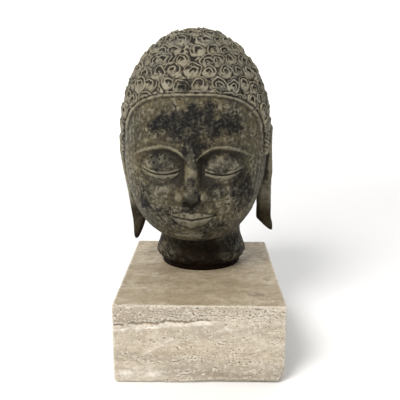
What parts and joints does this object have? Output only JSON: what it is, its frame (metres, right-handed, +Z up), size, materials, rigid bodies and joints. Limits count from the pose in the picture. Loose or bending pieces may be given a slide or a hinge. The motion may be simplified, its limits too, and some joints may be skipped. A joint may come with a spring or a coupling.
{
  "type": "stone buddha head",
  "caption": "Carved dark stone Buddha head with curled hair, closed eyes and long ear lobes, on a sawn travertine base.",
  "frame": {"origin": "the middle of the underside of the travertine base", "axes": "+Z up, the front of the base and the face look along -Y, +X to the right of someone facing it"},
  "size_m": [0.1864, 0.2308, 0.3694],
  "materials": {
    "dark_stone": "matt grey-brown stone with black patina in patches and pale dust on the raised edges",
    "travertine": "honed cream travertine with fine level veins, pits and filled holes"
  },
  "bodies": {
    "root": {"stone_head": "dark_stone", "travertine_base": "travertine"}
  },
  "joints": []
}
